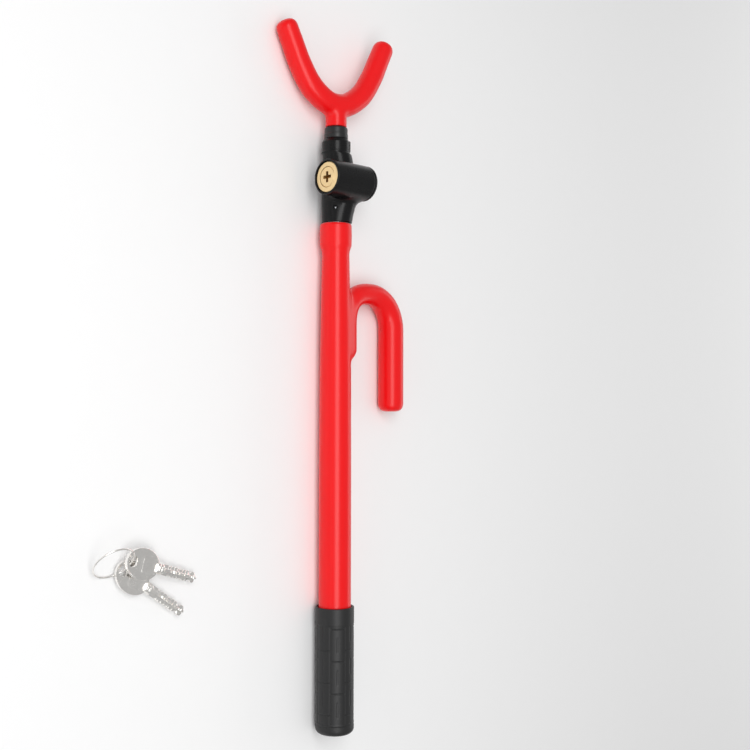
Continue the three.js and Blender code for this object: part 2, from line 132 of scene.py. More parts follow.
def gridSurface(name, grid, loopRows=False):
    # rows follow the profile and columns go round it; columns always close on themselves,
    # rows close on themselves for a ring and end in one centre point each for a closed body
    rows, cols, _ = grid.shape
    points = grid.reshape(-1, 3)
    r = np.arange(rows if loopRows else rows - 1)[:, None]
    c = np.arange(cols)[None, :]
    nextR = (r + 1) % rows
    nextC = (c + 1) % cols
    quads = np.stack(np.broadcast_arrays(
        r * cols + c, nextR * cols + c, nextR * cols + nextC, r * cols + nextC), -1).reshape(-1, 4)
    faces = [quads]
    volume = outward(points, quads)
    if not loopRows:
        ends = np.stack([grid[0].mean(0), grid[-1].mean(0)])
        points = np.vstack([points, ends])
        first, last = rows * cols, rows * cols + 1
        ring = np.arange(cols)
        turned = (ring + 1) % cols
        bottom = np.stack([np.full(cols, first), ring, turned], -1)
        top = np.stack([np.full(cols, last), (rows - 1) * cols + turned, (rows - 1) * cols + ring], -1)
        volume += outward(points, bottom) + outward(points, top)
        faces += [bottom, top]
    if volume < 0:
        faces = [f[:, ::-1] for f in faces]
    made = meshObject(name, points, [f for part in faces for f in part.tolist()])
    made.data.shade_smooth()
    return made


def softCorners(corners, radius, steps=5):
    # each inner corner of a profile becomes a short quadratic curve that starts and ends
    # a given distance away from it, or a little under half of a shorter side
    sideShare = 2.2
    pts = np.asarray(corners, float)
    radii = np.broadcast_to(radius, len(pts))
    out = [pts[0]]
    for i in range(1, len(pts) - 1):
        before, here, after = pts[i - 1], pts[i], pts[i + 1]
        toBefore = np.linalg.norm(before - here)
        toAfter = np.linalg.norm(after - here)
        reach = min(radii[i], toBefore / sideShare, toAfter / sideShare)
        start = here + (before - here) / toBefore * reach
        end = here + (after - here) / toAfter * reach
        t = np.linspace(0, 1, steps)[:, None]
        out += list((1 - t) ** 2 * start + 2 * t * (1 - t) * here + t ** 2 * end)
    out.append(pts[-1])
    return np.array(out)


def turnedPiece(name, profile, around="y", place=(0, 0, 0), sides=96, loop=False, turn=None):
    # the radius and height of a profile carried round an axis; heights run along that axis
    r, h = np.asarray(profile, float).T * mm
    a = np.linspace(0, 2 * math.pi, sides, endpoint=False)
    ringA = r[:, None] * np.cos(a)
    ringB = r[:, None] * np.sin(a)
    height = np.broadcast_to(h[:, None], ringA.shape)
    order = {"y": (ringA, height, ringB), "x": (height, ringA, ringB)}
    grid = np.stack(order[around], -1)
    if turn is not None:
        grid = grid @ np.array(turn.to_3x3()).T
    return gridSurface(name, toRow(grid + np.array(place) * mm), loopRows=loop)


def applyModifiers(target):
    # the shape that the modifiers give takes the place of the object's own mesh
    bpy.context.view_layer.update()
    graph = bpy.context.evaluated_depsgraph_get()
    shaped = bpy.data.meshes.new_from_object(target.evaluated_get(graph))
    target.modifiers.clear()
    old = target.data
    target.data = shaped
    shaped.name = old.name
    bpy.data.meshes.remove(old)


def cutAway(target, cutters):
    # each cutter is taken out of the target and then removed
    for cutter in cutters:
        cut = target.modifiers.new("cut", "BOOLEAN")
        cut.operation = "DIFFERENCE"
        cut.solver = "EXACT"
        cut.object = cutter
        applyModifiers(target)
        bpy.data.objects.remove(cutter)
    target.data.shade_smooth()


def sharpen(target, degrees=35):
    # smooth shading that still breaks at edges turned by more than an angle
    target.data.set_sharp_from_angle(angle=math.radians(degrees))


def smoothMin(a, b, k):
    # the smaller of two, with a round blend where they differ by less than k
    h = np.clip(0.5 + 0.5 * (b - a) / k, 0, 1)
    return b + (a - b) * h - k * h * (1 - h)


def smoothMax(a, b, k):
    # the larger of two, with the same round blend
    return -smoothMin(-a, -b, k)


def ownPoints(mesh):
    # a mesh's points in the lock's own place, in mm
    points = np.empty(len(mesh.vertices) * 3)
    mesh.vertices.foreach_get("co", points)
    return (points.reshape(-1, 3) - np.array([axisX, buttY, axisZ])) / mm


def meltedPiece(name, field, seeds, voxel):
    # rough solids are made one skin, and each of its points then slides down the field's slope
    # until the field is zero there; the field is the distance to the finished surface in mm
    bpy.ops.object.select_all(action="DESELECT")
    for seed in seeds:
        seed.select_set(True)
    bpy.context.view_layer.objects.active = seeds[0]
    bpy.ops.object.join()
    made = seeds[0]
    made.name = name
    skin = made.modifiers.new("skin", "REMESH")
    skin.mode = "VOXEL"
    skin.voxel_size = voxel * mm
    skin.use_smooth_shade = True
    applyModifiers(made)
    mesh = made.data
    mesh.name = name
    points = ownPoints(mesh)
    longestMove, flattest = 1.5, 0.2
    for _ in range(8):
        value = field(points)
        slope = fieldSlope(field, points)
        size = np.maximum((slope ** 2).sum(1), flattest)
        move = slope * (value / size)[:, None]
        length = np.linalg.norm(move, axis=1)
        points -= move * np.minimum(1, longestMove / np.maximum(length, 1e-9))[:, None]
    mesh.vertices.foreach_set("co", toRow(points * mm).ravel())
    mesh.update()
    mesh.shade_smooth()
    return made


def fieldSlope(field, points):
    # central differences of the field along each axis
    step = 0.02
    return np.stack([
        (field(points + step * axis) - field(points - step * axis)) / (2 * step)
        for axis in np.eye(3)], -1)


def fieldNormals(target, field):
    # shading normals from the field's slope wherever the mesh still lies on the field's surface;
    # a zero normal leaves that corner to the mesh
    nearest, sameWay = 0.05, 0.8
    mesh = target.data
    points = ownPoints(mesh)
    slope = fieldSlope(field, points)
    slope /= np.maximum(np.linalg.norm(slope, axis=1), 1e-9)[:, None]
    near = np.abs(field(points)) < nearest
    corner = np.empty(len(mesh.loops), int)
    mesh.loops.foreach_get("vertex_index", corner)
    flat = np.empty(len(mesh.polygons) * 3)
    mesh.polygons.foreach_get("normal", flat)
    count = np.empty(len(mesh.polygons), int)
    mesh.polygons.foreach_get("loop_total", count)
    faceNormal = np.repeat(flat.reshape(-1, 3), count, axis=0)
    agree = np.einsum("ij,ij->i", faceNormal, slope[corner]) > sameWay
    keep = near[corner] & agree
    mesh.normals_split_custom_set(np.where(keep[:, None], slope[corner], 0.0))


# shader groups and materials

def newGroup(name, inputs, outputs):
    # an empty node group with named inputs and outputs
    tree = bpy.data.node_groups.new(name, "ShaderNodeTree")
    for label, kind, value in inputs:
        socket = tree.interface.new_socket(label, in_out="INPUT", socket_type=kind)
        if value is not None:
            socket.default_value = value
    for label, kind in outputs:
        tree.interface.new_socket(label, in_out="OUTPUT", socket_type=kind)
    return tree, tree.nodes.new("NodeGroupInput"), tree.nodes.new("NodeGroupOutput")


def mottleGroup():
    # two sizes of cloudy noise mixed to one value between 0 and 1
    tree, given, result = newGroup("mottle", [
        ("Vector", "NodeSocketVector", None),
        ("Coarse", "NodeSocketFloat", 40.0),
        ("Fine", "NodeSocketFloat", 900.0),
        ("Balance", "NodeSocketFloat", 0.5),
    ], [("Value", "NodeSocketFloat")])
    coarse = tree.nodes.new("ShaderNodeTexNoise")
    coarse.inputs["Detail"].default_value = 4
    fine = tree.nodes.new("ShaderNodeTexNoise")
    fine.inputs["Detail"].default_value = 2
    mix = tree.nodes.new("ShaderNodeMix")
    link = tree.links.new
    link(given.outputs["Vector"], coarse.inputs["Vector"])
    link(given.outputs["Vector"], fine.inputs["Vector"])
    link(given.outputs["Coarse"], coarse.inputs["Scale"])
    link(given.outputs["Fine"], fine.inputs["Scale"])
    link(given.outputs["Balance"], mix.inputs["Factor"])
    link(coarse.outputs["Fac"], mix.inputs["A"])
    link(fine.outputs["Fac"], mix.inputs["B"])
    link(mix.outputs["Result"], result.inputs["Value"])
    return tree


def toneGroup():
    # a base colour moved a little darker and lighter by a value
    tree, given, result = newGroup("tone", [
        ("Colour", "NodeSocketColor", (0.5, 0.5, 0.5, 1)),
        ("Value", "NodeSocketFloat", 0.5),
        ("Amount", "NodeSocketFloat", 0.1),
    ], [("Colour", "NodeSocketColor")])
    centred = tree.nodes.new("ShaderNodeMath")
    centred.operation = "SUBTRACT"
    centred.inputs[1].default_value = 0.5
    scaled = tree.nodes.new("ShaderNodeMath")
    scaled.operation = "MULTIPLY_ADD"
    scaled.inputs[2].default_value = 1.0
    shade = tree.nodes.new("ShaderNodeHueSaturation")
    link = tree.links.new
    link(given.outputs["Value"], centred.inputs[0])
    link(centred.outputs[0], scaled.inputs[0])
    link(given.outputs["Amount"], scaled.inputs[1])
    link(scaled.outputs[0], shade.inputs["Value"])
    link(given.outputs["Colour"], shade.inputs["Color"])
    link(shade.outputs["Color"], result.inputs["Colour"])
    return tree


mottle = mottleGroup()
tone = toneGroup()


def surfaceMaterial(name, colour, given):
    # shader with a mottled colour, roughness and fine bump; given holds every number
    material = bpy.data.materials.new(name)
    material.use_nodes = True
    tree = material.node_tree
    shader = tree.nodes["Principled BSDF"]
    link = tree.links.new
    where = tree.nodes.new("ShaderNodeTexCoord")
    stretch = tree.nodes.new("ShaderNodeMapping")
    stretch.inputs["Scale"].default_value = given.get("stretch", (1, 1, 1))
    link(where.outputs["Object"], stretch.inputs["Vector"])
    cloud = tree.nodes.new("ShaderNodeGroup")
    cloud.node_tree = mottle
    cloud.inputs["Coarse"].default_value = given.get("coarse", 40)
    cloud.inputs["Fine"].default_value = given.get("fine", 900)
    cloud.inputs["Balance"].default_value = given.get("balance", 0.5)
    link(stretch.outputs["Vector"], cloud.inputs["Vector"])
    paint = tree.nodes.new("ShaderNodeGroup")
    paint.node_tree = tone
    paint.inputs["Colour"].default_value = (*colour, 1)
    paint.inputs["Amount"].default_value = given.get("tone", 0.1)
    link(cloud.outputs["Value"], paint.inputs["Value"])
    link(paint.outputs["Colour"], shader.inputs["Base Color"])
    rough = tree.nodes.new("ShaderNodeMapRange")
    rough.inputs["To Min"].default_value = given["rough"][0]
    rough.inputs["To Max"].default_value = given["rough"][1]
    link(cloud.outputs["Value"], rough.inputs["Value"])
    link(rough.outputs["Result"], shader.inputs["Roughness"])
    bump = tree.nodes.new("ShaderNodeBump")
    bump.inputs["Strength"].default_value = given.get("bump", 0.1)
    bump.inputs["Distance"].default_value = given.get("depth", 0.1) * mm
    link(cloud.outputs["Value"], bump.inputs["Height"])
    link(bump.outputs["Normal"], shader.inputs["Normal"])
    shader.inputs["Metallic"].default_value = given.get("metal", 0)
    shader.inputs["Coat Weight"].default_value = given.get("coat", 0)
    shader.inputs["Coat Roughness"].default_value = given.get("coatRough", 0.1)
    shader.inputs["Specular IOR Level"].default_value = given.get("specular", 0.5)
    return material


def ringedMaterial(name, colour, given, centre, across):
    # turned metal: as surfaceMaterial, with fine rings round a centre line added to the bump
    material = surfaceMaterial(name, colour, given)
    tree = material.node_tree
    link = tree.links.new
    where = tree.nodes["Texture Coordinate"]
    centred = tree.nodes.new("ShaderNodeMapping")
    centred.vector_type = "TEXTURE"
    centred.inputs["Location"].default_value = centre
    link(where.outputs["Object"], centred.inputs["Vector"])
    rings = tree.nodes.new("ShaderNodeTexWave")
    rings.wave_type = "RINGS"
    rings.rings_direction = across
    rings.inputs["Scale"].default_value = given["ringScale"]
    rings.inputs["Distortion"].default_value = 0.6
    rings.inputs["Detail"].default_value = 2
    link(centred.outputs["Vector"], rings.inputs["Vector"])
    groove = tree.nodes.new("ShaderNodeBump")
    groove.inputs["Strength"].default_value = given.get("ringBump", 0.2)
    groove.inputs["Distance"].default_value = 0.03 * mm
    link(rings.outputs["Color"], groove.inputs["Height"])
    link(tree.nodes["Bump"].outputs["Normal"], groove.inputs["Normal"])
    link(groove.outputs["Normal"], tree.nodes["Principled BSDF"].inputs["Normal"])
    return material


redVinyl = surfaceMaterial("redVinyl", (0.86, 0.002, 0.004), {
    "rough": (0.26, 0.36), "coarse": 28, "fine": 260, "balance": 0.35, "tone": 0.10,
    "bump": 0.12, "depth": 0.2, "coat": 0.06, "coatRough": 0.12, "specular": 0.34})
blackPaint = surfaceMaterial("blackPaint", (0.003, 0.003, 0.0033), {
    "rough": (0.22, 0.34), "coarse": 120, "fine": 1400, "balance": 0.6, "tone": 0.5,
    "bump": 0.25, "depth": 0.12, "specular": 0.27})
gripRubber = surfaceMaterial("gripRubber", (0.014, 0.014, 0.0145), {
    "rough": (0.38, 0.52), "coarse": 90, "fine": 2600, "balance": 0.7, "tone": 0.35,
    "bump": 0.35, "depth": 0.10, "specular": 0.42})
blackPlastic = surfaceMaterial("blackPlastic", (0.009, 0.009, 0.0095), {
    "rough": (0.34, 0.46), "coarse": 150, "fine": 1800, "tone": 0.3, "bump": 0.2, "depth": 0.05})
brassTurned = ringedMaterial("brassTurned", (0.93, 0.70, 0.38), {
    "rough": (0.30, 0.44), "coarse": 200, "fine": 1500, "tone": 0.15, "bump": 0.1,
    "metal": 1.0, "ringScale": 700, "ringBump": 0.25},
    (axisX, buttY + barrelY, axisZ + barrelZ), "X")
platedRod = ringedMaterial("platedRod", (0.80, 0.80, 0.80), {
    "rough": (0.10, 0.20), "coarse": 80, "fine": 900, "tone": 0.06, "bump": 0.06,
    "metal": 1.0, "ringScale": 500, "ringBump": 0.05}, (axisX, 0, axisZ), "Y")
machinedSteel = surfaceMaterial("machinedSteel", (0.42, 0.43, 0.45), {
    "rough": (0.30, 0.48), "coarse": 120, "fine": 1600, "tone": 0.2, "bump": 0.15,
    "metal": 1.0})
springWire = surfaceMaterial("springWire", (0.50, 0.51, 0.53), {
    "rough": (0.22, 0.34), "coarse": 300, "fine": 2000, "tone": 0.15, "bump": 0.1,
    "metal": 1.0})
nickelPlate = surfaceMaterial("nickelPlate", (0.93, 0.91, 0.88), {
    "rough": (0.16, 0.34), "coarse": 160, "fine": 1300, "tone": 0.22, "bump": 0.22,
    "depth": 0.08, "metal": 1.0})

slotMaterials = {
    "red_vinyl": redVinyl, "black_paint": blackPaint, "grip_rubber": gripRubber,
    "black_plastic": blackPlastic, "brass": brassTurned, "chrome": platedRod,
    "steel": machinedSteel, "spring_steel": springWire, "nickel": nickelPlate,
}
print("materials ready:", len(slotMaterials))

# the CAD nodes that stay take the finish that their record slot names
for entry in frame["record"]["subparts"]:
    node = frame["nodes"][entry["node"]]
    node.data.materials.clear()
    node.data.materials.append(slotMaterials[entry["material_slot"]])


def finishPiece(piece, body, slot, *nodes):
    # its material, the body it moves with, its slot and the CAD nodes it stands for
    piece.data.materials.clear()
    piece.data.materials.append(slotMaterials[slot])
    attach(piece, body)
    if nodes:
        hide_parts(*nodes)


# red vinyl over the tube, its socket and the hook

frameVinyl = {
    # height from the butt end and radius of the vinyl, in mm
    "tube": [(6, 12.3), (170, 12.3), (210, 12.25), (272, 11.95), (345, 10.85), (362, 10.45),
             (365, 10.75), (368.5, 12.05), (370, 12.2), (377, 12.3), (383, 12.2), (386, 12.1)],
    "ends": (6, 386),
    "lip": 2.6,
    "bore": 9.8,
    "socketBore": 11.15,
    "socketFrom": 368.6,
    "weldX": 12.5,
    "weldEnd": 290.5,
    "bendPower": 2.6,
    "bendY": 307.7,
    "reach": 66.5,
    "freeEnd": 242,
    "weldRadius": 7.9,
    # angle round the bend from the welded side, in degrees, and the vinyl's radius there
    "bend": [(0, 7.9), (60, 8.0), (90, 8.4), (135, 9.7), (180, 10.15)],
    "legRadius": 10.2,
    "legEnd": 7.0,                 # how round the free end is
    "legRest": 10.0,               # the free leg's radius where it rests on the floor
    "floorGap": 14.7,
    "seedRadius": 8.3,
    "fillet": 8.5,
    "voxel": 0.9,
}


def hookTurn(given):
    # the hook's plane is turned about the tube until the free leg rests on the floor
    return math.asin((given["floorGap"] - given["legRest"]) / given["reach"])


def smoothSteps(table, at):
    # straight lines between a table's points, with their corners rounded by a short average
    x, y = np.array(table, float).T
    fine = np.linspace(x[0], x[-1], 1500)
    line = np.interp(fine, x, y)
    width = 9
    kernel = np.hanning(width + 2)[1:-1]
    padded = np.pad(line, width // 2, mode="edge")
    soft = np.convolve(padded, kernel / kernel.sum(), "valid")
    return np.interp(at, fine, soft)


def frameField(given):
    # distance to the vinyl: a tube whose radius follows the table, joined by a fillet to
    # the hook, which is a radius about a welded leg, a bend and a straight free leg
    middle = (given["weldX"] + given["reach"]) / 2
    bendRadius = (given["reach"] - given["weldX"]) / 2
    tilt = hookTurn(given)
    low, high = given["ends"]

    def field(p):
        x, y, z = p.T
        tube = np.hypot(x, z) - smoothSteps(given["tube"], y)
        tube = smoothMax(tube, y - high, given["lip"])
        tube = smoothMax(tube, low - y, given["lip"])
        # the hook's own plane
        u = x * math.cos(tilt) - z * math.sin(tilt)
        w = x * math.sin(tilt) + z * math.cos(tilt)
        weldY = np.clip(y, given["weldEnd"], given["bendY"])
        weld = np.sqrt((u - given["weldX"]) ** 2 + (y - weldY) ** 2 + w ** 2) - given["weldRadius"]
        around = np.degrees(np.arctan2(np.maximum(y - given["bendY"], 0), -(u - middle)))
        # a fuller curve on the tube's side: the distance is a power mean, divided by its slope
        power = np.where(u < middle, given["bendPower"], 2.0)
        across = np.abs(u - middle) + 1e-6
        rise = np.maximum(y - given["bendY"], 0) + 1e-6
        fromCentre = (across ** power + rise ** power) ** (1 / power)
        steep = np.sqrt(across ** (2 * power - 2) + rise ** (2 * power - 2)) / fromCentre ** (power - 1)
        bend = np.hypot((fromCentre - bendRadius) / steep, w)
        bend = bend - np.interp(around, *np.array(given["bend"]).T)
        bend = np.where(y >= given["bendY"], bend, 99.0)
        leg = np.hypot(u - given["reach"], w) - given["legRadius"]
        leg = smoothMax(leg, given["freeEnd"] - y, given["legEnd"])
        leg = smoothMax(leg, y - given["bendY"] - 0.02, 0.01)
        hook = np.minimum(np.minimum(weld, bend), leg)
        return smoothMin(tube, hook, given["fillet"])

    return field


def roundEnds(path, radius):
    # half a ball added beyond each end of a path
    path = np.asarray(path, float)
    t = np.radians([20, 40, 60, 75, 85])[:, None]
    first = (path[0] - path[1]) / np.linalg.norm(path[0] - path[1])
    last = (path[-1] - path[-2]) / np.linalg.norm(path[-1] - path[-2])
    ballR = radius * np.cos(t[:, 0])
    whole = np.vstack([path[0] + first * radius * np.sin(t[::-1]), path,
                       path[-1] + last * radius * np.sin(t)])
    return whole, np.concatenate([ballR[::-1], np.full(len(path), radius), ballR])


def alongPath(name, path, radii, sides=24):
    # a circle carried along a path in mm, square to it, with both ends closed
    path = np.asarray(path, float)
    ahead = np.gradient(path, axis=0)
    ahead /= np.linalg.norm(ahead, axis=1)[:, None]
    side = np.cross(ahead, np.array([0.0, 0.0, 1.0]))
    flat = np.linalg.norm(side, axis=1) < 1e-6
    side[flat] = np.array([1.0, 0, 0])
    side /= np.linalg.norm(side, axis=1)[:, None]
    over = np.cross(side, ahead)
    a = np.linspace(0, 2 * math.pi, sides, endpoint=False)
    radii = np.broadcast_to(radii, len(path))
    circle = np.cos(a)[None, :, None] * side[:, None] + np.sin(a)[None, :, None] * over[:, None]
    return gridSurface(name, toRow((path[:, None] + circle * radii[:, None, None]) * mm))


def inHookPlane(u, y, given):
    # from the hook's plane, across and along the tube, to the lock's own place
    tilt = hookTurn(given)
    return np.stack([u * math.cos(tilt), y, -u * math.sin(tilt)], -1)


def makeFrameVinyl(given):
    # a rough tube and hook, melted onto the field and bored for the steel tube
    middle = (given["weldX"] + given["reach"]) / 2
    bendRadius = (given["reach"] - given["weldX"]) / 2
    angle = np.linspace(math.pi, 0, 30)
    power = np.where(angle > math.pi / 2, 2 / given["bendPower"], 1.0)
    across = np.sign(np.cos(angle)) * np.abs(np.cos(angle)) ** power
    rise = np.abs(np.sin(angle)) ** power
    u = np.concatenate([[given["weldX"]] * 4, middle + bendRadius * across, [given["reach"]] * 10])
    y = np.concatenate([
        np.linspace(given["weldEnd"] - 6, given["bendY"] - 2, 4),
        given["bendY"] + bendRadius * rise,
        np.linspace(given["bendY"] - 2, given["freeEnd"] + 1, 10)])
    hook = alongPath("hookSeed", inHookPlane(u, y, given), given["seedRadius"])
    tube = turnedPiece("tubeSeed", [(0.01, 6.2)] + [(r - 0.2, h) for h, r in given["tube"]][:-1]
                       + [(11.7, 385.8), (0.01, 385.8)], sides=48)
    field = frameField(given)
    made = meltedPiece("frameVinyl", field, [tube, hook], given["voxel"])
    low, high = given["ends"]
    bore = turnedPiece("bore", [
        (0.01, low - 5), (given["bore"], low - 5), (given["bore"], given["socketFrom"] - 4),
        (given["socketBore"], given["socketFrom"]), (given["socketBore"], high + 5),
        (0.01, high + 5)], sides=64)
    cutAway(made, [bore])
    sharpen(made, 45)
    fieldNormals(made, field)
    return made


finishPiece(makeFrameVinyl(frameVinyl), "frame", "red_vinyl", "frame_coat")
print("vinyl over tube and hook made")

# red vinyl over the fork and its stem

forkVinyl = {
    # half spread and height of the prong's centre line, from the bottom of the gap to the tip
    "line": [(0, 476.9), (11, 479.3), (23.6, 488.5), (33.4, 503), (40.5, 518), (44.8, 527.2)],
    # distance along the prong as a part of the whole, and the vinyl's radius
    "radius": [(0, 8.9), (0.35, 8.9), (0.7, 8.6), (1, 8.3)],
    "stem": (459.9, 472),
    "stemRadius": 8.05,
    "floorGap": 14.7,
    "tipSpread": 44.8,
    "tipReach": 7.6,
    "tipRound": 4.0,
    "coat": 8.6,
    "seedRadius": 8.0,
    "boreRadius": 6.8,
    "boreTop": 472.5,
    "fillet": 3.2,
    "voxel": 0.8,
}


def forkTurn(given):
    # the fork's plane is turned about the rod until one prong rests on the floor
    return math.asin((given["floorGap"] - given["coat"]) / given["tipSpread"])


def throughPoints(points, steps):
    # a curve through given points: each span is a cubic whose slope at a point is half the
    # step from the point before it to the point after it
    p = np.asarray(points, float)
    ends = np.vstack([2 * p[0] - p[1], p, 2 * p[-1] - p[-2]])
    out = []
    for i in range(len(p) - 1):
        a, b, c, d = ends[i:i + 4]
        t = np.linspace(0, 1, steps, endpoint=False)[:, None]
        out.append(0.5 * (2 * b + (c - a) * t + (2 * a - 5 * b + 4 * c - d) * t ** 2
                          + (3 * b - a - 3 * c + d) * t ** 3))
    out.append(p[-1:])
    return np.vstack(out)


def prongLine(given):
    # the half line and its mirror image, made one smooth curve from tip to tip
    half = np.array(given["line"], float)
    mirrored = half[:0:-1] * np.array([-1, 1])
    return throughPoints(np.vstack([mirrored, half]), 8)


def forkField(given):
    # distance to the vinyl: a radius about the prongs' curve, joined by a fillet to a round stem
    line = prongLine(given)
    length = np.concatenate([[0], np.cumsum(np.linalg.norm(np.diff(line, axis=0), axis=1))])
    part = np.abs(length / length[-1] * 2 - 1)
    radius = np.interp(part, *np.array(given["radius"]).T)
    turn = forkTurn(given)
    low, high = given["stem"]

    def field(p):
        x, y, z = p.T
        u = x * math.cos(turn) + z * math.sin(turn)
        w = -x * math.sin(turn) + z * math.cos(turn)
        best = np.full(len(p), 99.0)
        for i in range(len(line) - 1):
            a, b = line[i], line[i + 1]
            d = b - a
            t = np.clip(((u - a[0]) * d[0] + (y - a[1]) * d[1]) / (d @ d), 0, 1)
            gap = np.sqrt((u - a[0] - t * d[0]) ** 2 + (y - a[1] - t * d[1]) ** 2 + w ** 2)
            best = np.minimum(best, gap - (radius[i] + t * (radius[i + 1] - radius[i])))
        # the round tips are a little flattened
        tip, ahead = line[-1], line[-1] - line[-2]
        ahead = ahead / np.linalg.norm(ahead)
        beyond = (np.abs(u) - tip[0]) * ahead[0] + (y - tip[1]) * ahead[1] - given["tipReach"]
        best = smoothMax(best, beyond, given["tipRound"])
        stem = smoothMax(np.hypot(x, z) - given["stemRadius"], low - y, 1.0)
        stem = smoothMax(stem, y - high, 1.0)
        return smoothMin(best, stem, given["fillet"])

    return field


def makeForkVinyl(given):
    # rough prongs and stem, melted onto the field and bored for the rod's end
    line = prongLine(given)
    turn = forkTurn(given)
    path = np.stack([line[:, 0] * math.cos(turn), line[:, 1], line[:, 0] * math.sin(turn)], -1)
    prongs = alongPath("prongSeed", *roundEnds(path, given["seedRadius"]))
    low, high = given["stem"]
    stem = turnedPiece("stemSeed", [(0.01, low + 0.2), (7.8, low + 0.2), (7.8, high), (0.01, high)],
                       sides=48)
    field = forkField(given)
    made = meltedPiece("forkVinyl", field, [prongs, stem], given["voxel"])
    bore = turnedPiece("bore", [(0.01, low - 4), (given["boreRadius"], low - 4),
                                (given["boreRadius"], given["boreTop"]), (0.01, given["boreTop"])], sides=64)
    cutAway(made, [bore])
    sharpen(made, 45)
    fieldNormals(made, field)
    return made


finishPiece(makeForkVinyl(forkVinyl), "rod_and_fork", "red_vinyl", "fork_coat")
print("vinyl over the fork made")

# cast head

headCast = {
    # height and radius of the round body under the bulge
    "body": [(386.3, 10.6), (398, 10.8), (412, 10.8), (430, 10.2), (439.6, 10.1), (440.5, 10.75),
             (448.0, 10.7), (450.5, 9.3)],
    "bodyShift": -0.25,
    "ends": (386.3, 450.5),
    # height, and how far the bulge reaches from the axis towards the back of the housing
    "bulge": [(386.3, 12.3), (392, 13.3), (396.6, 14.4), (399.3, 15.1), (402.6, 16.0), (406, 16.6),
              (422, 15.0), (428, 13.7), (432.7, 13.1), (436, 12.6), (438.5, 11.9), (440.2, 10.2)],
    "bulgeRadius": 10.9,
    # the rib at the neck's side: lowest and highest point, half thickness, outer reach
    "rib": (440.6, 449.3, 0.9, 11.05),
    "ribFoot": 6,                  # the rib starts inside the neck, this far from the axis
    "housing": (-24.0, 14.5),
    "housingRadius": 13.4,
    "fillets": [(403, 6.5), (412, 3.0)],   # height and fillet between body and housing
    "edge": 0.9,
    "voxel": 0.55,
    "faceBore": 11.9,
    "faceDepth": -8.2,
    "chamber": 9.5,
    "rodBore": 6.8,
    "sleeveBore": 9.8,
    "sleeveTop": 402.8,
    "bushBore": 8.4,
    "bushBottom": 431.7,
    "pinHeight": 396.7,
    "pinRadius": 1.65,
}
barrelAt = (0, barrelY / mm, barrelZ / mm)


def headField(given):
    # distance to the cast surface: a round body whose radius follows the table, a bulge at its
    # side, the housing as a cylinder along X and a thin rib on the neck, joined by fillets
    low, high = given["ends"]
    front, rear = given["housing"]
    heights = [b[0] for b in given["bulge"]]

    def field(p):
        x, y, z = p.T
        # out of the head's side and along it, halfway between the two level axes
        out = (x + z) / math.sqrt(2)
        along = (z - x) / math.sqrt(2)
        body = np.hypot(out - given["bodyShift"], along) - smoothSteps(given["body"], y)
        body = smoothMax(body, y - high, 0.3)
        body = smoothMax(body, low - y, 0.5)
        reach = np.interp(y, heights, [b[1] for b in given["bulge"]])
        bulge = np.hypot(out - reach + given["bulgeRadius"], along) - given["bulgeRadius"]
        bulge = smoothMax(bulge, y - heights[-1], 0.6)
        bulge = smoothMax(bulge, low - y, 0.5)
        across = np.hypot(y - barrelAt[1], z - barrelAt[2]) - given["housingRadius"]
        ends = np.maximum(front - x, x - rear)
        housing = smoothMax(across, ends, given["edge"])
        ribLow, ribHigh, ribHalf, ribReach = given["rib"]
        rib = smoothMax(np.abs(along) - ribHalf, out - ribReach, 0.5)
        rib = smoothMax(smoothMax(rib, ribLow - y, 0.5), y - ribHigh, 1.2)
        rib = np.maximum(rib, given["ribFoot"] - out)
        fillet = np.interp(y, *np.array(given["fillets"]).T)
        whole = smoothMin(smoothMin(body, bulge, 1.0), housing, fillet)
        return smoothMin(whole, rib, 0.4)

    return field


def slantedTurn():
    # from +Y to halfway between -X and +Z
    return Vector((0, 1, 0)).rotation_difference(Vector((-1, 0, 1))).to_matrix()


